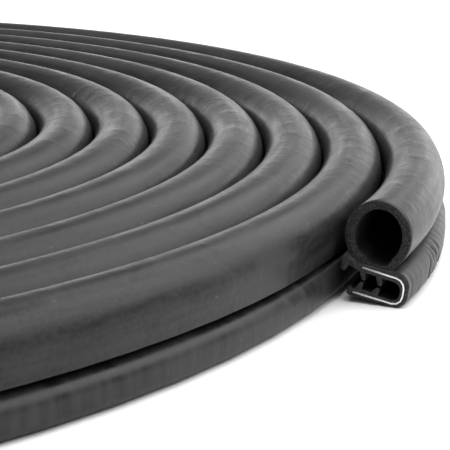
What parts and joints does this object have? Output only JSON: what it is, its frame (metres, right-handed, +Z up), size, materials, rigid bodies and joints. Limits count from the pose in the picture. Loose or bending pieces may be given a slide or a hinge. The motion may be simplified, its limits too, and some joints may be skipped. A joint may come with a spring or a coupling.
{
  "type": "rubber edge trim",
  "caption": "Bulb trim seal wound as a flat coil: a dense rubber channel with gripping fins and a metal core carries a hollow sponge bulb along one side, for sealing a panel's edge.",
  "frame": {"origin": "middle of the coil's footprint, at floor level", "axes": "+Z up, square to the coil's flat side; the strip's cut end lies at +X and its cut face looks along -Y"},
  "size_m": [0.7722, 0.757, 0.0377],
  "materials": {
    "sponge_rubber": "matt",
    "dense_rubber": "satin",
    "core_steel": "bright"
  },
  "bodies": {
    "root": {"sponge_bulb": "sponge_rubber", "rubber_channel": "dense_rubber", "metal_core": "core_steel"}
  },
  "joints": []
}
